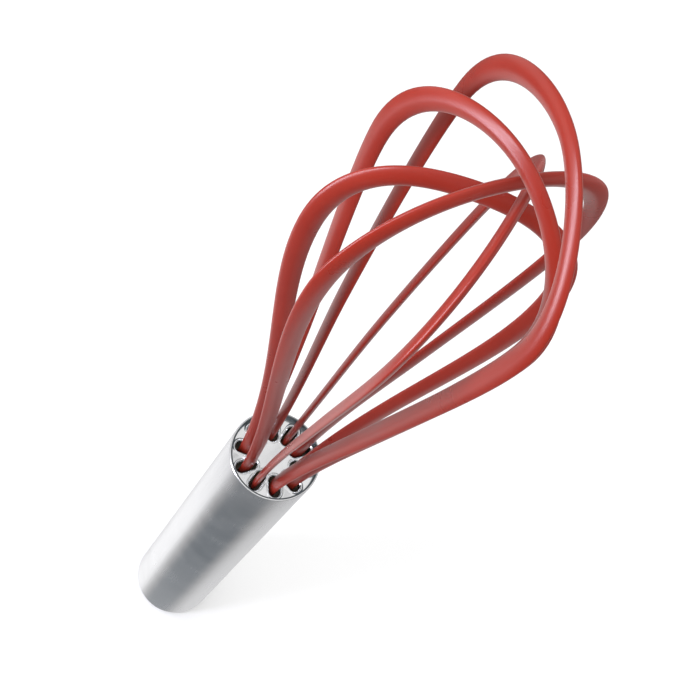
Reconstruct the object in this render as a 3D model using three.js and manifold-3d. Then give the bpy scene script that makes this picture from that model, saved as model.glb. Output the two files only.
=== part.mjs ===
// Balloon whisk: five silicone-covered wire loops, nested inside each other, leave a closed steel tube
// handle through the slotted plate in its mouth. Millimetres. +Z runs from the closed end of the
// handle, which rests on z = 0, to the top of the balloon.
import * as THREE from 'three';
import { mergeVertices } from 'three/addons/utils/BufferGeometryUtils.js';
import Module from 'manifold-3d';

const wasm = await Module();
wasm.setup();

// Handle tube and the cap that closes it
const HANDLE_LENGTH = 131;
const HANDLE_RADIUS = 12;
const HANDLE_WALL = 0.8;
const LIP_ROUND = 0.35;
const CAP_THICKNESS = 2;
const CAP_ROUND = 1.4;
const CAP_SKIRT_HEIGHT = 6;

// Slotted plate, set back inside the mouth
const PLATE_SETBACK = 2;
const PLATE_THICKNESS = 1.2;
const STRAND_COUNT = 10;
const SLOT_INNER_RADIUS = 4.65;
const SLOT_OUTER_RADIUS = 10.4;
const SLOT_WIDTH = 2.9;

// Strands: a flattened silicone sleeve around a spring steel wire
const SLEEVE_WIDTH = 4.7;
const SLEEVE_THICKNESS = 2.15;
const WIRE_RADIUS = 0.5;
const FOOT_RADIUS = 7.3;
const FIRST_STRAND_ANGLE = -18;
const FOOT_LEAN = 4;

// Resin plug that holds the wire ends
const RESIN_SETBACK = 8;
const RESIN_LENGTH = 24;
const WIRE_TAIL = 19;

// Clearances
const FIT_GAP = 0.3;
const WIRE_GAP = 0.2;
const CUT_MARGIN = 1;

// Fineness: sides round the turned parts, the sleeves and the wires, and steps along a loop's curves
const ROUND_SIDES = 48;
const LIP_STEPS = 3;
const CAP_STEPS = 5;
const SLOT_STEPS = 5;
const POCKET_SIDES = 10;
const SLEEVE_SIDES = 8;
const WIRE_SIDES = 6;
const CURVE_STEPS = 12;
const WELD_DISTANCE = 1e-5;

// Share of a loop's height over which its turn about the axis builds up
const TURN_RISE = 0.4;

// The loops, from the lowest crown to the highest. hole is the slot that the loop starts from. widest
// is the half-width and the height over the mouth where the loop is widest, top is the height of its
// crown, and the reaches are the lengths of the curve handles beside the foot, the widest point and
// the crown. The soft loops are not quite true: turn swings a loop about the axis, in degrees, and
// slide and lean carry its crown along and across its own plane.
const LOOPS = [
  { name: 'loop_1', hole: 0, widest: [24.3, 117.9], top: 147.1, foot: 54.1, belly: 29.2, shoulder: 23.1,
    crown: 12.9, turn: 1, slide: 1.2, lean: -1.3 },
  { name: 'loop_2', hole: 2, widest: [23.4, 117.7], top: 152.8, foot: 30, belly: 22, shoulder: 11.2,
    crown: 21.6, turn: 3, slide: 2.7, lean: 4.7 },
  { name: 'loop_3', hole: 1, widest: [26.2, 123.6], top: 158.1, foot: 45.8, belly: 29.1, shoulder: 16.7,
    crown: 18, turn: -3.6, slide: -1.7, lean: 1.9 },
  { name: 'loop_4', hole: 4, widest: [24.8, 131.3], top: 163.4, foot: 33.2, belly: 22, shoulder: 21.3,
    crown: 10.7, turn: -5.2, slide: -0.8, lean: -0.4 },
  { name: 'loop_5', hole: 3, widest: [26.1, 143.1], top: 173.7, foot: 30, belly: 26.7, shoulder: 19.7,
    crown: 9.5, turn: 7, slide: 1.7, lean: 3.5 },
];

const BORE_RADIUS = HANDLE_RADIUS - HANDLE_WALL;
const INSERT_RADIUS = BORE_RADIUS - FIT_GAP;
const PLATE_TOP = HANDLE_LENGTH - PLATE_SETBACK;
const RESIN_TOP = HANDLE_LENGTH - RESIN_SETBACK;
const SLEEVE_END = RESIN_TOP + 2 * FIT_GAP;
const WIRE_HOLE_RADIUS = WIRE_RADIUS + WIRE_GAP;
const PITCH = 360 / STRAND_COUNT;

const STEEL = { color: 0xc9ccce, roughness: 0.22, metalness: 1 };
const PLATE_STEEL = { color: 0xd6d8d9, roughness: 0.15, metalness: 1 };
const WIRE_STEEL = { color: 0x9a9da0, roughness: 0.35, metalness: 1 };
const SILICONE = { color: 0xb3322e, roughness: 0.5, metalness: 0 };
const RESIN = { color: 0x8a7f6a, roughness: 0.6, metalness: 0 };

const group = new THREE.Group();

function addPart(name, geometry, look) {
  const mesh = new THREE.Mesh(geometry, new THREE.MeshStandardMaterial(look));
  mesh.name = name;
  group.add(mesh);
  return mesh;
}

function toSolid(geometry) {
  const bare = geometry.clone();
  bare.deleteAttribute('normal');
  bare.deleteAttribute('uv');
  const merged = mergeVertices(bare, WELD_DISTANCE);
  return new wasm.Manifold(new wasm.Mesh({
    numProp: 3,
    vertProperties: new Float32Array(merged.attributes.position.array),
    triVerts: new Uint32Array(merged.index.array),
  }));
}

function toGeometry(solid) {
  const mesh = solid.getMesh();
  const geometry = new THREE.BufferGeometry();
  geometry.setAttribute('position', new THREE.BufferAttribute(mesh.vertProperties, 3));
  geometry.setIndex(new THREE.BufferAttribute(mesh.triVerts, 1));
  geometry.computeVertexNormals();
  return geometry;
}

// A turned solid from an outline of [radius, height] corners, given counter-clockwise.
function turned(corners) {
  const outline = corners.map(([radius, height]) => new THREE.Vector2(radius, height));
  return new THREE.LatheGeometry(outline, ROUND_SIDES).rotateX(Math.PI / 2);
}

// Points of a quarter round about a centre, from one angle in degrees to the next.
function round(centreRadius, centreHeight, radius, from, steps) {
  return Array.from({ length: steps + 1 }, (_, i) => {
    const angle = THREE.MathUtils.degToRad(from + (90 * i) / steps);
    return [centreRadius + radius * Math.cos(angle), centreHeight + radius * Math.sin(angle)];
  });
}

function handleTube() {
  const lip = round(HANDLE_RADIUS - LIP_ROUND, HANDLE_LENGTH - LIP_ROUND, LIP_ROUND, 0, LIP_STEPS);
  const outline = [
    [BORE_RADIUS, CAP_THICKNESS],
    [HANDLE_RADIUS, CAP_THICKNESS],
    ...lip,
    [BORE_RADIUS, HANDLE_LENGTH],
    [BORE_RADIUS, CAP_THICKNESS],
  ];
  return turned(outline);
}

function endCap() {
  const skirtInner = INSERT_RADIUS - HANDLE_WALL;
  const skirtTop = CAP_THICKNESS + CAP_SKIRT_HEIGHT;
  const outline = [
    [0, 0],
    ...round(HANDLE_RADIUS - CAP_ROUND, CAP_ROUND, CAP_ROUND, -90, CAP_STEPS),
    [HANDLE_RADIUS, CAP_THICKNESS],
    [INSERT_RADIUS, CAP_THICKNESS],
    [INSERT_RADIUS, skirtTop],
    [skirtInner, skirtTop],
    [skirtInner, CAP_THICKNESS],
    [0, CAP_THICKNESS],
  ];
  return turned(outline);
}

// A radial slot with round ends, as a cutter that runs through the plate.
function slotCutter(angle) {
  const half = SLOT_WIDTH / 2;
  const outline = new THREE.Shape();
  outline.absarc(SLOT_OUTER_RADIUS - half, 0, half, -Math.PI / 2, Math.PI / 2, false);
  outline.absarc(SLOT_INNER_RADIUS + half, 0, half, Math.PI / 2, 1.5 * Math.PI, false);
  const depth = PLATE_THICKNESS + 2 * CUT_MARGIN;
  const cutter = new THREE.ExtrudeGeometry(outline, {
    depth,
    bevelEnabled: false,
    curveSegments: SLOT_STEPS,
  });
  cutter.translate(0, 0, PLATE_TOP - PLATE_THICKNESS - CUT_MARGIN);
  return toSolid(cutter.rotateZ(angle));
}

function strandAngles() {
  return Array.from({ length: STRAND_COUNT }, (_, i) =>
    THREE.MathUtils.degToRad(FIRST_STRAND_ANGLE + PITCH * i),
  );
}

function mouthPlate() {
  const disc = new THREE.CylinderGeometry(INSERT_RADIUS, INSERT_RADIUS, PLATE_THICKNESS, ROUND_SIDES);
  disc.rotateX(Math.PI / 2).translate(0, 0, PLATE_TOP - PLATE_THICKNESS / 2);
  const cut = strandAngles().reduce((solid, angle) => solid.subtract(slotCutter(angle)), toSolid(disc));
  return toGeometry(cut);
}

// The resin is cast around the wire ends, so its pockets are blind and open at the top.
function resinPlug() {
  const plug = new THREE.CylinderGeometry(INSERT_RADIUS, INSERT_RADIUS, RESIN_LENGTH, ROUND_SIDES);
  plug.rotateX(Math.PI / 2).translate(0, 0, RESIN_TOP - RESIN_LENGTH / 2);
  const radius = WIRE_RADIUS + FIT_GAP;
  const depth = WIRE_TAIL + FIT_GAP + CUT_MARGIN;
  const cut = strandAngles().reduce((solid, angle) => {
    const pocket = new THREE.CylinderGeometry(radius, radius, depth, POCKET_SIDES);
    pocket.rotateX(Math.PI / 2).translate(FOOT_RADIUS, 0, RESIN_TOP + CUT_MARGIN - depth / 2);
    return solid.subtract(toSolid(pocket.rotateZ(angle)));
  }, toSolid(plug));
  return toGeometry(cut);
}

// Centre line of a strand, from one end over the crown to the other. A station is a step along one
// side: the crown is 0, the widest point is CURVE_STEPS and the foot is twice that. Past the foot the
// strand runs straight down.
class LoopPath extends THREE.Curve {
  constructor(loop, tailEnds) {
    super();
    this.loop = loop;
    this.tailEnds = tailEnds;
    this.stations = 2 * CURVE_STEPS + tailEnds.length;
    const [wide, height] = loop.widest;
    const lean = THREE.MathUtils.degToRad(FOOT_LEAN);
    const point = (x, z) => new THREE.Vector2(x, z);
    this.upper = new THREE.CubicBezierCurve(
      point(0, loop.top),
      point(loop.crown, loop.top),
      point(wide, height + loop.shoulder),
      point(wide, height),
    );
    this.lower = new THREE.CubicBezierCurve(
      point(wide, height),
      point(wide, height - loop.belly),
      point(FOOT_RADIUS + loop.foot * Math.sin(lean), loop.foot * Math.cos(lean)),
      point(FOOT_RADIUS, -PLATE_SETBACK),
    );
  }

  // The curve's own parameter is used as it stands, because its steps are closer over the crown.
  getUtoTmapping(u) {
    return u;
  }

  sidePoint(station) {
    if (station <= CURVE_STEPS) return this.upper.getPoint(station / CURVE_STEPS);
    if (station <= 2 * CURVE_STEPS) return this.lower.getPoint(station / CURVE_STEPS - 1);
    const past = station - 2 * CURVE_STEPS;
    const ends = [-PLATE_SETBACK, ...this.tailEnds];
    const step = Math.min(Math.floor(past), ends.length - 2);
    return new THREE.Vector2(FOOT_RADIUS, THREE.MathUtils.lerp(ends[step], ends[step + 1], past - step));
  }

  getPoint(t, target = new THREE.Vector3()) {
    const signed = (2 * t - 1) * this.stations;
    const side = this.sidePoint(Math.abs(signed));
    const x = -Math.sign(signed) * side.x;
    const rise = THREE.MathUtils.clamp(side.y / this.loop.top, 0, 1);
    const turn = THREE.MathUtils.degToRad(this.loop.turn) * THREE.MathUtils.smoothstep(rise, 0, TURN_RISE);
    const carry = rise * rise;
    return target.set(
      x * Math.cos(turn) + this.loop.slide * carry,
      x * Math.sin(turn) + this.loop.lean * carry,
      HANDLE_LENGTH + side.y,
    );
  }
}

function ovalShape(width, thickness, sides) {
  const shape = new THREE.Shape();
  for (let i = 0; i < sides; i += 1) {
    const angle = (2 * Math.PI * i) / sides;
    const x = (thickness / 2) * Math.cos(angle);
    const y = (width / 2) * Math.sin(angle);
    if (i === 0) shape.moveTo(x, y);
    else shape.lineTo(x, y);
  }
  shape.closePath();
  return shape;
}

function swept(shape, path) {
  const steps = 2 * path.stations;
  return new THREE.ExtrudeGeometry(shape, { steps, extrudePath: path, curveSegments: 1 });
}

function sleeve(loop) {
  const section = ovalShape(SLEEVE_WIDTH, SLEEVE_THICKNESS, SLEEVE_SIDES);
  section.holes.push(ovalShape(2 * WIRE_HOLE_RADIUS, 2 * WIRE_HOLE_RADIUS, WIRE_SIDES));
  return swept(section, new LoopPath(loop, [SLEEVE_END - HANDLE_LENGTH]));
}

function wire(loop) {
  const section = ovalShape(2 * WIRE_RADIUS, 2 * WIRE_RADIUS, WIRE_SIDES);
  const end = RESIN_TOP - WIRE_TAIL - HANDLE_LENGTH;
  return swept(section, new LoopPath(loop, [SLEEVE_END - HANDLE_LENGTH, end]));
}

addPart('handle_tube', handleTube(), STEEL);
addPart('end_cap', endCap(), STEEL);
addPart('mouth_plate', mouthPlate(), PLATE_STEEL);
addPart('resin_plug', resinPlug(), RESIN);
for (const loop of LOOPS) {
  const angle = THREE.MathUtils.degToRad(FIRST_STRAND_ANGLE + PITCH * loop.hole);
  addPart(loop.name + '_sleeve', sleeve(loop), SILICONE).rotation.z = angle;
  addPart(loop.name + '_wire', wire(loop), WIRE_STEEL).rotation.z = angle;
}

export default group;
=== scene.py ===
import math

import bpy
from mathutils import Matrix, Vector


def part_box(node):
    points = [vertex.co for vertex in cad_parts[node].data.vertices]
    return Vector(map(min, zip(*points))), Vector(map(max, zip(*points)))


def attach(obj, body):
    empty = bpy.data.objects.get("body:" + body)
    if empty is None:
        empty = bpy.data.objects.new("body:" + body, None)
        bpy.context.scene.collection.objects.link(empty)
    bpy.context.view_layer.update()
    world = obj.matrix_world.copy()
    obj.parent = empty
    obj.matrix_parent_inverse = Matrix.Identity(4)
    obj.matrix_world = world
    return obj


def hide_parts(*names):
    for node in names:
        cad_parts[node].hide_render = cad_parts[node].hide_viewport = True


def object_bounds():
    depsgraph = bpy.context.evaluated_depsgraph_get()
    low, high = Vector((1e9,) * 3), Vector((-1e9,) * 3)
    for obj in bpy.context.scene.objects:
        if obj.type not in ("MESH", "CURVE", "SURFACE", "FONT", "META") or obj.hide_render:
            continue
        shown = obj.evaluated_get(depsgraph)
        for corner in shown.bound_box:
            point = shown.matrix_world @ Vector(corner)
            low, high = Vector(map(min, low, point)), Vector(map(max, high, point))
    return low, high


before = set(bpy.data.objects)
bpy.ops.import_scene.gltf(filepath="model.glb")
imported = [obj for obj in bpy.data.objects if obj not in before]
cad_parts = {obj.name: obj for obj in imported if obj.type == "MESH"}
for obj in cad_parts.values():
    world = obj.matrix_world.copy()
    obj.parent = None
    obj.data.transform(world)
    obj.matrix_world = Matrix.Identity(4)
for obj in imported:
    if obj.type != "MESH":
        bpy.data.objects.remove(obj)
cad_box = [list(corner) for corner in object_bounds()]
bpy.ops.object.select_all(action="DESELECT")

MM = 0.001


# Handle tube: a thin stainless steel tube, cut to length, polished along its outside and open at the
# mouth, where the lip is rounded over. The closed end is a separate cap welded under it.
tube_low, tube_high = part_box("handle_tube")
HANDLE_RADIUS = tube_high.x
MOUTH = tube_high.z
TUBE_FOOT = tube_low.z
TUBE_WALL = 0.8 * MM
LIP_ROUND = 0.34 * MM
LIP_STEPS = 5
ROUND_STEPS = 192
CREASE = math.radians(50)
ON_PLANE = 0.001 * MM
SAME_POINT = 0.0001 * MM


def only(piece):
    bpy.ops.object.select_all(action="DESELECT")
    piece.select_set(True)
    bpy.context.view_layer.objects.active = piece


def named(name):
    piece = bpy.context.object
    piece.name = name
    piece.data.name = name
    return piece


def pick(piece, wanted):
    """Selects the vertices, in edit mode, whose place passes the test."""
    bpy.ops.object.mode_set(mode="EDIT")
    bpy.ops.mesh.select_mode(type="VERT")
    bpy.ops.mesh.select_all(action="DESELECT")
    bpy.ops.object.mode_set(mode="OBJECT")
    for vertex in piece.data.vertices:
        vertex.select = wanted(vertex.co)
    bpy.ops.object.mode_set(mode="EDIT")


def face_outwards():
    """Merges the active piece's doubled vertices and turns its faces outwards."""
    bpy.ops.object.mode_set(mode="EDIT")
    bpy.ops.mesh.select_all(action="SELECT")
    bpy.ops.mesh.remove_doubles(threshold=SAME_POINT)
    bpy.ops.mesh.normals_make_consistent(inside=False)
    bpy.ops.object.mode_set(mode="OBJECT")


def settle(piece):
    """Puts the piece's place into its mesh, so that its object is at the origin."""
    only(piece)
    bpy.ops.object.transform_apply(location=True, rotation=True, scale=True)


def apply_modifiers(piece):
    only(piece)
    for modifier in list(piece.modifiers):
        bpy.ops.object.modifier_apply(modifier=modifier.name)


bpy.ops.mesh.primitive_cylinder_add(
    vertices=ROUND_STEPS,
    radius=HANDLE_RADIUS,
    depth=MOUTH - TUBE_FOOT,
    end_fill_type="NOTHING",
    location=(0, 0, (MOUTH + TUBE_FOOT) / 2),
)
handle_tube = named("handle_tube_polished")
settle(handle_tube)
wall = handle_tube.modifiers.new("wall", "SOLIDIFY")
wall.thickness = TUBE_WALL
wall.offset = -1
apply_modifiers(handle_tube)
pick(handle_tube, lambda p: p.z > MOUTH - ON_PLANE)
bpy.ops.mesh.bevel(offset=LIP_ROUND, segments=LIP_STEPS, affect="EDGES")
bpy.ops.object.mode_set(mode="OBJECT")
face_outwards()
bpy.ops.object.shade_smooth_by_angle(angle=CREASE)

# Noise keeps mostly between these two values.
NOISE_LOW, NOISE_HIGH = 0.3, 0.7


class Nodes:
    """Adds nodes to a material or to the world, and joins them to the outputs they are given."""

    def __init__(self, tree):
        self.tree = tree

    def feed(self, node, inputs):
        for key, value in inputs.items():
            if isinstance(value, bpy.types.NodeSocket):
                self.tree.links.new(value, node.inputs[key])
            else:
                node.inputs[key].default_value = value

    def add(self, kind, inputs, **settings):
        node = self.tree.nodes.new(kind)
        for key, value in settings.items():
            setattr(node, key, value)
        self.feed(node, inputs)
        return node

    def place(self):
        return self.add("ShaderNodeTexCoord", {}).outputs["Object"]

    def noise(self, place, scale, detail, roughness=0.5):
        inputs = {"Vector": place, "Scale": scale, "Detail": detail, "Roughness": roughness}
        return self.add("ShaderNodeTexNoise", inputs).outputs["Fac"]

    def remap(self, value, low, high, to_low=0.0, to_high=1.0):
        inputs = {"Value": value, "From Min": low, "From Max": high, "To Min": to_low, "To Max": to_high}
        return self.add("ShaderNodeMapRange", inputs).outputs["Result"]

    def ramp(self, factor, stops):
        node = self.add("ShaderNodeValToRGB", {"Fac": factor})
        elements = node.color_ramp.elements
        while len(elements) > 1:
            elements.remove(elements[-1])
        elements[0].position, elements[0].color = stops[0]
        for position, colour in stops[1:]:
            elements.new(position).color = colour
        return node.outputs["Color"]

    def mottle(self, noise, first, second):
        return self.ramp(noise, [(NOISE_LOW, first), (NOISE_HIGH, second)])

    def bump(self, noise, strength, distance):
        inputs = {"Height": noise, "Strength": strength, "Distance": distance}
        return self.add("ShaderNodeBump", inputs).outputs["Normal"]

    def math(self, operation, first, second):
        return self.add("ShaderNodeMath", {0: first, 1: second}, operation=operation).outputs["Value"]

    def mix_colours(self, factor, first, second):
        inputs = {"Factor": factor, 6: first, 7: second}
        return self.add("ShaderNodeMix", inputs, data_type="RGBA").outputs[2]

    def mix_values(self, factor, first, second):
        inputs = {"Factor": factor, 2: first, 3: second}
        return self.add("ShaderNodeMix", inputs, data_type="FLOAT").outputs[0]


def new_material(name):
    material = bpy.data.materials.new(name)
    material.use_nodes = True
    return material, Nodes(material.node_tree), material.node_tree.nodes["Principled BSDF"]


def grey(value):
    return (value, value, value * 1.01, 1)


# Painted shade: the inside wall of the tube and the inner edge of its lip are painted this dark tone, for
# the shade inside the mouth.
PAINTED_BORE_SHADE = (0.15, 0.17, 0.185, 1)
BORE_ROUGHNESS = 0.42
BORE_EDGE = 0.5 * MM
BORE_INSIDE = 0.3 * MM


def polished_steel(name, tone, roughness, grain, bore=None):
    """Steel with fine drawn streaks in its gloss and faint smears. Inside a bore's radius it is rougher,
    and painted dark as painted shade in the tube.
    """
    steel, nodes, surface = new_material(name)
    place = nodes.place()
    along = nodes.add("ShaderNodeMapping", {"Vector": place, "Scale": (1, 1, grain)}).outputs["Vector"]
    streaks = nodes.noise(along, scale=2600.0, detail=4.0, roughness=0.6)
    smears = nodes.noise(place, scale=90.0, detail=3.0)
    streaked = nodes.remap(
        streaks, NOISE_LOW, NOISE_HIGH, to_low=roughness - 0.02, to_high=roughness + 0.02
    )
    smeared = nodes.remap(smears, low=0.35, high=NOISE_HIGH, to_low=-0.02, to_high=0.035)
    rough = nodes.math("ADD", streaked, smeared)
    colour = nodes.mottle(smears, grey(tone - 0.07), grey(tone + 0.03))
    # Inside the bore the steel is rougher, and its colour is painted shade: the dark tone stands in for
    # the shade down the tube.
    if bore:
        across = nodes.add("ShaderNodeVectorMath", {0: place, 1: (1, 1, 0)}, operation="MULTIPLY")
        across = across.outputs["Vector"]
        radius = nodes.add("ShaderNodeVectorMath", {0: across}, operation="LENGTH").outputs["Value"]
        inside = nodes.remap(radius, bore + BORE_EDGE, bore + BORE_INSIDE)
        height = nodes.add("ShaderNodeSeparateXYZ", {"Vector": place}).outputs["Z"]
        rougher_with_painted_shade = nodes.math("MULTIPLY", inside, nodes.math("GREATER_THAN", height, TUBE_FOOT))
        colour = nodes.mix_colours(rougher_with_painted_shade, colour, PAINTED_BORE_SHADE)
        rough = nodes.mix_values(rougher_with_painted_shade, rough, BORE_ROUGHNESS)
    dents = nodes.bump(streaks, strength=0.015, distance=0.02 * MM)
    nodes.feed(surface, {"Metallic": 1.0, "Base Color": colour, "Roughness": rough, "Normal": dents})
    return steel


handle_steel = polished_steel(
    "handle_steel", tone=0.93, roughness=0.24, grain=0.02, bore=HANDLE_RADIUS - TUBE_WALL
)
handle_tube.data.materials.append(handle_steel)
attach(handle_tube, "root")
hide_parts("handle_tube")


# End cap: a steel disc with a rounded edge and a short skirt that is pushed into the tube. It is
# welded all round and the weld is polished flush, so that no seam shows.
cap_low, cap_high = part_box("end_cap")
CAP_ROUND = 1.4 * MM
CAP_STEPS = 10
SKIRT_RADIUS = HANDLE_RADIUS - TUBE_WALL - 0.05 * MM
SKIRT_WALL = 0.8 * MM
SKIRT_HEIGHT = cap_high.z - TUBE_FOOT
CAP_CREASE = math.radians(40)

bpy.ops.mesh.primitive_cylinder_add(
    vertices=ROUND_STEPS,
    radius=HANDLE_RADIUS,
    depth=TUBE_FOOT - cap_low.z,
    location=(0, 0, (TUBE_FOOT + cap_low.z) / 2),
)
end_cap = named("end_cap_polished")
settle(end_cap)
pick(end_cap, lambda p: p.z > TUBE_FOOT - ON_PLANE)
bpy.ops.mesh.inset(thickness=HANDLE_RADIUS - SKIRT_RADIUS)
bpy.ops.mesh.extrude_region_move(TRANSFORM_OT_translate={"value": (0, 0, SKIRT_HEIGHT)})
bpy.ops.mesh.inset(thickness=SKIRT_WALL)
bpy.ops.mesh.extrude_region_move(TRANSFORM_OT_translate={"value": (0, 0, -SKIRT_HEIGHT)})
bpy.ops.object.mode_set(mode="OBJECT")
pick(end_cap, lambda p: p.z < cap_low.z + ON_PLANE)
bpy.ops.mesh.bevel(offset=CAP_ROUND, segments=CAP_STEPS, affect="EDGES")
bpy.ops.object.mode_set(mode="OBJECT")
face_outwards()
bpy.ops.object.shade_smooth_by_angle(angle=CAP_CREASE)
end_cap.data.materials.append(handle_steel)
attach(end_cap, "root")
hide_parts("end_cap")


# Mouth plate: a pressed disc of bright steel, set just inside the mouth. It has a radial slot for
# each strand, and the press leaves a soft raised lip round every slot.
plate_low, plate_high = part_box("mouth_plate")
PLATE_RADIUS = HANDLE_RADIUS - TUBE_WALL - 0.03 * MM
STRANDS = 10
PITCH = math.radians(360 / STRANDS)
FIRST_STRAND = math.radians(-18)
SLOT_INNER = 4.65 * MM
SLOT_OUTER = 10.4 * MM
SLOT_HALF = 1.45 * MM
SLOT_MIDDLE = (SLOT_INNER + SLOT_OUTER) / 2
SLOT_STRAIGHT = SLOT_OUTER - SLOT_INNER - 2 * SLOT_HALF
LIP_HEIGHT = 0.24 * MM
LIP_PLACE = 0.42 * MM
LIP_SPREAD = 0.24 * MM
ROLLED_DEPTH = 0.16 * MM
ROLLED_SPREAD = 0.1 * MM
DISH = 0.35 * MM
SHEET_CELLS = 170
BLANK_DEPTH = 10 * MM
PUNCH_DEPTH = 20 * MM
PUNCH_STEPS = 32
PLATE_CREASE = math.radians(60)

bpy.ops.mesh.primitive_grid_add(
    x_subdivisions=SHEET_CELLS,
    y_subdivisions=SHEET_CELLS,
    size=2 * HANDLE_RADIUS,
    location=(0, 0, plate_low.z),
)
mouth_plate = named("mouth_plate_pressed")
bpy.ops.object.mode_set(mode="EDIT")
bpy.ops.mesh.select_all(action="SELECT")
bpy.ops.mesh.extrude_region_move(TRANSFORM_OT_translate={"value": (0, 0, plate_high.z - plate_low.z)})
bpy.ops.object.mode_set(mode="OBJECT")
settle(mouth_plate)
face_outwards()

bpy.ops.mesh.primitive_cylinder_add(
    vertices=ROUND_STEPS, radius=PLATE_RADIUS, depth=BLANK_DEPTH, location=(0, 0, plate_low.z)
)
blank = named("plate_blank")
settle(blank)

bpy.ops.mesh.primitive_cylinder_add(
    vertices=PUNCH_STEPS, radius=SLOT_HALF, depth=PUNCH_DEPTH, location=(SLOT_MIDDLE, 0, plate_low.z)
)
punch = named("slot_punch")
settle(punch)
pick(punch, lambda p: p.x > SLOT_MIDDLE - ON_PLANE)
bpy.ops.transform.translate(value=(SLOT_STRAIGHT / 2, 0, 0))
bpy.ops.object.mode_set(mode="OBJECT")
pick(punch, lambda p: p.x < SLOT_MIDDLE - ON_PLANE)
bpy.ops.transform.translate(value=(-SLOT_STRAIGHT / 2, 0, 0))
bpy.ops.object.mode_set(mode="OBJECT")


def turned_copy(piece, angle):
    copy = piece.copy()
    copy.data = piece.data.copy()
    bpy.context.collection.objects.link(copy)
    copy.data.transform(Matrix.Rotation(angle, 4, "Z"))
    return copy


punches = [turned_copy(punch, FIRST_STRAND + PITCH * i) for i in range(STRANDS)]
bpy.data.objects.remove(punch)
only(punches[0])
for each in punches:
    each.select_set(True)
bpy.ops.object.join()
all_punches = bpy.context.object


def cut(piece, tool, operation):
    only(piece)
    cutter = piece.modifiers.new("cut", "BOOLEAN")
    cutter.operation = operation
    cutter.object = tool
    cutter.solver = "EXACT"
    bpy.ops.object.modifier_apply(modifier=cutter.name)
    bpy.data.objects.remove(tool)


cut(mouth_plate, blank, "INTERSECT")
cut(mouth_plate, all_punches, "DIFFERENCE")


def between(value, low, high):
    return min(max(value, low), high)


def slot_distance(point):
    """How far a point of the plate lies from the edge of the nearest slot."""
    angle = math.atan2(point.y, point.x) - FIRST_STRAND
    away = (angle + PITCH / 2) % PITCH - PITCH / 2
    reach = math.hypot(point.x, point.y)
    x, y = reach * math.cos(away), reach * math.sin(away)
    nearest = between(x, SLOT_INNER + SLOT_HALF, SLOT_OUTER - SLOT_HALF)
    return math.hypot(x - nearest, y) - SLOT_HALF


for vertex in mouth_plate.data.vertices:
    gap = max(slot_distance(vertex.co), 0)
    reach = math.hypot(vertex.co.x, vertex.co.y) / PLATE_RADIUS
    lip = LIP_HEIGHT * math.exp(-(((gap - LIP_PLACE) / LIP_SPREAD) ** 2))
    rolled = -ROLLED_DEPTH * math.exp(-gap / ROLLED_SPREAD)
    dish = -DISH * (1 - reach * reach)
    vertex.co.z += lip + rolled + dish
only(mouth_plate)
bpy.ops.object.shade_smooth_by_angle(angle=PLATE_CREASE)
plate_steel = polished_steel("plate_steel", tone=0.96, roughness=0.17, grain=1.0)
mouth_plate.data.materials.append(plate_steel)
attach(mouth_plate, "root")
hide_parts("mouth_plate")


# Sleeves: red silicone moulded round each wire loop. The section is a flat oval that swells to a soft
# ridge along the middle of each side. Both ends go through the plate and stop just over the resin.
SLEEVE_WIDTH = 4.7 * MM
SLEEVE_THICKNESS = 2.15 * MM
SLEEVE_WALL = 0.36 * MM
FOOT_RADIUS = 7.3 * MM
FOOT_SIZE = 0.82
FOOT_LEAN = math.radians(4)
FOOT_HEIGHT = plate_high.z
TURN_RISE = 0.4
SECTION_STEPS = 40
SECTION_FULLNESS = 1.75
SMOOTHNESS = 28

# Lengths in millimetres and angles in degrees. hole is the slot that the loop starts from. Its widest
# place is wide from its middle and height over the mouth, and top is its crown. foot, belly, shoulder
# and crown are the reaches of its curves. turn, slide and lean are how far its crown has moved.
LOOPS = {
    "loop_1": dict(hole=0, wide=24.3, height=117.9, top=147.1, foot=54.1, belly=29.2, shoulder=23.1,
                   crown=12.9, turn=1, slide=1.2, lean=-1.3),
    "loop_2": dict(hole=2, wide=23.4, height=117.7, top=152.8, foot=30, belly=22, shoulder=11.2,
                   crown=21.6, turn=3, slide=2.7, lean=4.7),
    "loop_3": dict(hole=1, wide=26.2, height=123.6, top=158.1, foot=45.8, belly=29.1, shoulder=16.7,
                   crown=18, turn=-3.6, slide=-1.7, lean=1.9),
    "loop_4": dict(hole=4, wide=24.8, height=131.3, top=163.4, foot=33.2, belly=22, shoulder=21.3,
                   crown=10.7, turn=-5.2, slide=-0.8, lean=-0.4),
    "loop_5": dict(hole=3, wide=26.1, height=143.1, top=173.7, foot=30, belly=26.7, shoulder=19.7,
                   crown=9.5, turn=7, slide=1.7, lean=3.5),
}
# How far a loop's oval is rolled about its own length, at its first side, its crown and its last side.
ROLLS = {"loop_1": (0, -17, 0), "loop_3": (-15, 0, 0)}
UNROLLED = (0, 0, 0)


def oval_section():
    """The sleeve's cross-section, as a closed curve that the loops are swept with."""
    bpy.ops.curve.primitive_nurbs_circle_add()
    section = bpy.context.object
    section.name = "sleeve_section"
    section.data.splines.clear()
    spline = section.data.splines.new("POLY")
    spline.points.add(SECTION_STEPS - 1)
    spline.use_cyclic_u = True
    for i, point in enumerate(spline.points):
        angle = 2 * math.pi * i / SECTION_STEPS
        c, s = math.cos(angle), math.sin(angle)
        x = math.copysign(abs(c) ** (2 / SECTION_FULLNESS), c) * SLEEVE_WIDTH / 2
        y = math.copysign(abs(s) ** (2 / SECTION_FULLNESS), s) * SLEEVE_THICKNESS / 2
        point.co = (x, y, 0, 1)
    return section


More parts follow.
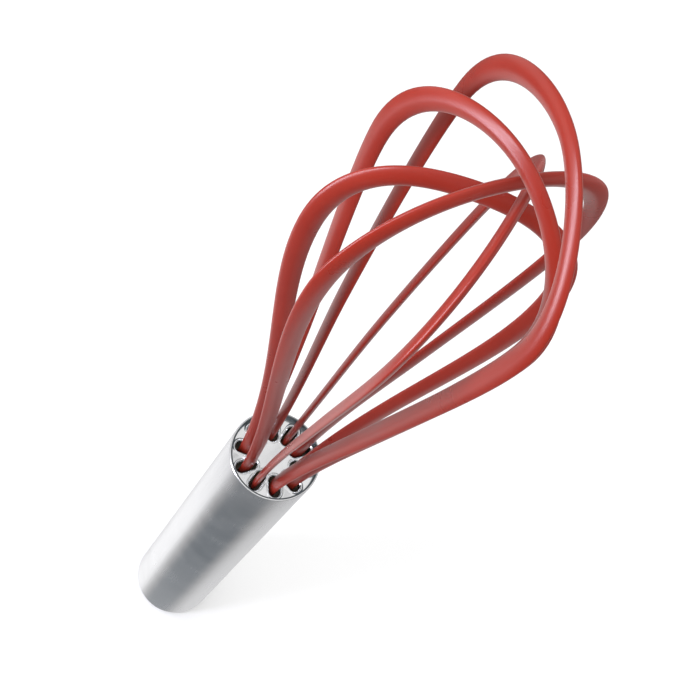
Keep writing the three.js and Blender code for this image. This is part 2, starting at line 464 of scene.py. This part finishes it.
def loop_points(loop, end_height):
    """Bezier points of a loop in its own plane: place, left handle and right handle, from end to end."""
    wide, height, top = loop["wide"] * MM, MOUTH + loop["height"] * MM, MOUTH + loop["top"] * MM
    foot, belly = loop["foot"] * MM, loop["belly"] * MM
    shoulder, crown = loop["shoulder"] * MM, loop["crown"] * MM
    drop = (FOOT_HEIGHT - end_height) / 3
    side = [
        ((FOOT_RADIUS, end_height), (FOOT_RADIUS, end_height - drop), (FOOT_RADIUS, end_height + drop)),
        (
            (FOOT_RADIUS, FOOT_HEIGHT),
            (FOOT_RADIUS, FOOT_HEIGHT - drop),
            (FOOT_RADIUS + foot * math.sin(FOOT_LEAN), MOUTH + foot * math.cos(FOOT_LEAN)),
        ),
        ((wide, height), (wide, height - belly), (wide, height + shoulder)),
        ((0, top), (crown, top), (-crown, top)),
    ]
    other = [tuple((-x, z) for x, z in (place, right, left)) for place, left, right in reversed(side[:-1])]
    return side + other


def strand_size(loop, height):
    """The share of the full section at a height: the strands are slimmer towards the foot."""
    rise = between((height - MOUTH) / (loop["height"] * MM), 0, 1)
    return FOOT_SIZE + (1 - FOOT_SIZE) * rise


def swept_loop(name, loop, section, end_height):
    bpy.ops.curve.primitive_bezier_curve_add()
    piece = bpy.context.object
    piece.name = name + "_silicone"
    curve = piece.data
    curve.splines.clear()
    spline = curve.splines.new("BEZIER")
    points = loop_points(loop, end_height)
    spline.bezier_points.add(len(points) - 1)
    for bezier, (place, left, right) in zip(spline.bezier_points, points):
        bezier.radius = strand_size(loop, place[1])
        bezier.handle_left_type = "FREE"
        bezier.handle_right_type = "FREE"
        bezier.co = (place[0], 0, place[1])
        bezier.handle_left = (left[0], 0, left[1])
        bezier.handle_right = (right[0], 0, right[1])
    for bezier, roll in zip(spline.bezier_points[2:5], ROLLS.get(name, UNROLLED)):
        bezier.tilt = math.radians(roll)
    curve.dimensions = "3D"
    curve.twist_mode = "MINIMUM"
    curve.resolution_u = SMOOTHNESS
    curve.bevel_mode = "OBJECT"
    curve.bevel_object = section
    curve.use_fill_caps = False
    only(piece)
    bpy.ops.object.convert(target="MESH")
    return bpy.context.object


def smooth_step(value, high):
    t = between(value / high, 0, 1)
    return t * t * (3 - 2 * t)


def relax(piece, loop):
    """Swings and shifts the crown a little, as a soft loop settles, and turns the loop to its slots."""
    top = loop["top"] * MM
    plane = Matrix.Rotation(FIRST_STRAND + PITCH * loop["hole"], 4, "Z")
    for vertex in piece.data.vertices:
        rise = between((vertex.co.z - MOUTH) / top, 0, 1)
        turn = math.radians(loop["turn"]) * smooth_step(rise, TURN_RISE)
        shift = Vector((loop["slide"], loop["lean"], 0)) * MM * rise * rise
        vertex.co = plane @ (Matrix.Rotation(turn, 4, "Z") @ vertex.co + shift)


def soft_silicone():
    """Satin silicone: deep red, a little light inside it, and the faint bloom of a moulded skin."""
    silicone, nodes, surface = new_material("red_silicone")
    place = nodes.place()
    bloom = nodes.noise(place, scale=60.0, detail=4.0)
    pores = nodes.noise(place, scale=2200.0, detail=2.0)
    nodes.feed(surface, {
        "Base Color": nodes.mottle(bloom, (0.345, 0.026, 0.014, 1), (0.39, 0.033, 0.019, 1)),
        "Roughness": nodes.remap(bloom, NOISE_LOW, NOISE_HIGH, to_low=0.26, to_high=0.33),
        "Normal": nodes.bump(pores, strength=0.08, distance=0.03 * MM),
        "Subsurface Weight": 0.12,
        "Subsurface Radius": (1.0, 0.25, 0.15),
        "Subsurface Scale": 1.2 * MM,
        "Specular IOR Level": 0.4,
    })
    return silicone


red_silicone = soft_silicone()
sleeve_section = oval_section()
for name, loop in LOOPS.items():
    sleeve_low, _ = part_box(name + "_sleeve")
    sleeve = swept_loop(name, loop, sleeve_section, sleeve_low.z)
    relax(sleeve, loop)
    face_outwards()
    skin = sleeve.modifiers.new("skin", "SOLIDIFY")
    skin.thickness = SLEEVE_WALL
    skin.offset = -1
    apply_modifiers(sleeve)
    bpy.ops.object.shade_smooth_by_angle(angle=CREASE)
    sleeve.data.materials.append(red_silicone)
    sleeve.visible_glossy = False
    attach(sleeve, "root")
    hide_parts(name + "_sleeve")
bpy.data.objects.remove(sleeve_section)


# Wires: a spring steel wire runs through each sleeve, and its bare ends are cast in the resin. They
# are the CAD pieces, with a drawn steel finish.
wire_steel = polished_steel("wire_steel", tone=0.8, roughness=0.32, grain=0.2)
for name in LOOPS:
    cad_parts[name + "_wire"].material_slots[0].material = wire_steel


# Resin plug: cast in the tube round the wire ends, which it holds for good. It is the CAD piece, in
# a cloudy amber resin.
def cast_resin():
    resin, nodes, surface = new_material("cast_resin")
    cloud = nodes.noise(nodes.place(), scale=300.0, detail=5.0)
    colour = nodes.mottle(cloud, (0.16, 0.13, 0.09, 1), (0.24, 0.2, 0.14, 1))
    nodes.feed(surface, {"Base Color": colour, "Roughness": 0.5})
    return resin


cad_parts["resin_plug"].material_slots[0].material = cast_resin()


# Studio: a pale matt floor that the whisk stands on, and a white room above it. The steel mirrors
# other things below the horizon: a white wall, a dark opening in front, and a grey edge.
FLOOR_SIZE = 20
FRONT = Vector((0.6277, 0.7785, 0))
SIDE = Vector((-0.7785, 0.6277, 0))
OPENING = (0.142, 0.162, 0.181, 1)
# The walls that the steel mirrors, each at its direction round the whisk as a share of a full turn.
WALLS = [
    (0.0, grey(0.78)), (0.14, grey(0.86)), (0.19, grey(1.1)), (0.335, grey(1.1)), (0.37, grey(0.6)),
    (0.405, grey(0.34)), (0.45, OPENING), (0.62, OPENING), (0.665, grey(0.33)), (0.71, grey(0.58)),
    (0.76, grey(0.68)), (1.0, grey(0.73)),
]
WALL_FOOT = grey(0.85)
WALL_EDGE = grey(0.24)
TABLE = grey(1.0)
TABLE_BOUNCE = (0.27, 0.17, 0.06, 1)
ROOM_LIGHT = 1.08


def pale_floor():
    pale, nodes, surface = new_material("pale_floor")
    tint = nodes.noise(nodes.place(), scale=9.0, detail=3.0)
    colour = nodes.mottle(tint, (0.95, 0.95, 0.95, 1), (0.97, 0.97, 0.97, 1))
    nodes.feed(surface, {"Base Color": colour, "Roughness": 0.9, "Specular IOR Level": 0.1})
    return pale


bpy.ops.mesh.primitive_plane_add(size=FLOOR_SIZE, location=(0, 0, cad_box[0][2]))
floor = named("floor")
settle(floor)
floor.data.materials.append(pale_floor())
floor.visible_glossy = False
floor.visible_diffuse = False


def studio_surround(world):
    """Lights the scene from every side. A height is how far up (1) or down (-1) a ray points."""
    world.use_nodes = True
    nodes = Nodes(world.node_tree)
    ray = nodes.add("ShaderNodeTexCoord", {}).outputs["Generated"]
    height = nodes.add("ShaderNodeSeparateXYZ", {"Vector": ray}).outputs["Z"]
    ahead = nodes.add("ShaderNodeVectorMath", {0: ray, 1: FRONT}, operation="DOT_PRODUCT").outputs["Value"]
    across = nodes.add("ShaderNodeVectorMath", {0: ray, 1: SIDE}, operation="DOT_PRODUCT").outputs["Value"]
    path = nodes.add("ShaderNodeLightPath", {})
    glossy, diffuse = path.outputs["Is Glossy Ray"], path.outputs["Is Diffuse Ray"]

    turn = nodes.remap(nodes.math("ARCTAN2", across, ahead), low=-math.pi, high=math.pi)
    walls = nodes.ramp(turn, WALLS)
    near_foot = nodes.remap(height, low=-0.915, high=-0.97, to_high=0.42)
    walls = nodes.mix_colours(near_foot, walls, WALL_FOOT)
    over_foot = nodes.remap(height, low=-0.86, high=-0.8)
    under_top = nodes.remap(height, low=-0.45, high=-0.55)
    walls = nodes.mix_colours(nodes.math("MULTIPLY", over_foot, under_top), walls, WALL_EDGE)
    below = nodes.mix_colours(glossy, TABLE, walls)
    below = nodes.mix_colours(diffuse, below, TABLE_BOUNCE)

    ceiling = nodes.remap(height, low=0.55, high=0.85, to_low=0.41, to_high=0.82)
    room = nodes.mix_values(glossy, ROOM_LIGHT, ceiling)
    over_horizon = nodes.math("GREATER_THAN", height, 0.0)
    surround = nodes.mix_colours(over_horizon, below, room)
    nodes.feed(world.node_tree.nodes["Background"], {"Color": surround, "Strength": 1.0})


studio = bpy.data.worlds.new("studio")
bpy.context.scene.world = studio
studio_surround(studio)
bpy.context.scene.view_settings.view_transform = "Standard"


# Lights: two narrow soft lights stand one over the other beside the whisk. They draw the long
# highlights on the silicone, and the low one shows only in gloss, so that undersides stay dark.
LIGHT_TURN = math.radians(8)
LIGHT_DISTANCE = 300 * MM
LIGHT_SIZE = (80 * MM, 200 * MM)
LIGHT_COLOUR = (0.86, 0.87, 1.0)


def soft_light(name, height, power):
    """A light that faces the whisk's axis from the given height."""
    x, y = LIGHT_DISTANCE * math.cos(LIGHT_TURN), LIGHT_DISTANCE * math.sin(LIGHT_TURN)
    bpy.ops.object.light_add(type="AREA", location=(x, y, height))
    light = bpy.context.object
    light.name = name
    light.data.shape = "RECTANGLE"
    light.data.size, light.data.size_y = LIGHT_SIZE
    light.data.energy = power
    light.data.color = LIGHT_COLOUR
    light.rotation_euler = Vector((-x, -y, 0)).to_track_quat("-Z", "Y").to_euler()
    light.visible_camera = False
    return light


soft_light("strip_light", height=320 * MM, power=0.75)
low_light = soft_light("low_strip_light", height=110 * MM, power=0.7)
low_light.visible_diffuse = False


# Camera: high in front of the whisk, looking down on the balloon with the handle running away.
CAMERA_PLACE = Vector((105.0, 126.5, 516.7)) * MM
CAMERA_FORWARD = Vector((-0.2905, -0.3603, -0.8864))
CAMERA_UP = Vector((0.0613, -0.9315, 0.3586))
CAMERA_LENS = 84.4
CAMERA_SENSOR = 36

bpy.ops.object.camera_add(location=CAMERA_PLACE)
camera = bpy.context.object
right = CAMERA_FORWARD.cross(CAMERA_UP).normalized()
up = right.cross(CAMERA_FORWARD).normalized()
camera.matrix_world = Matrix.Translation(CAMERA_PLACE) @ Matrix(
    (right, up, -CAMERA_FORWARD.normalized())
).transposed().to_4x4()
camera.data.lens = CAMERA_LENS
camera.data.sensor_width = CAMERA_SENSOR
camera.data.clip_start = 10 * MM
bpy.context.scene.camera = camera
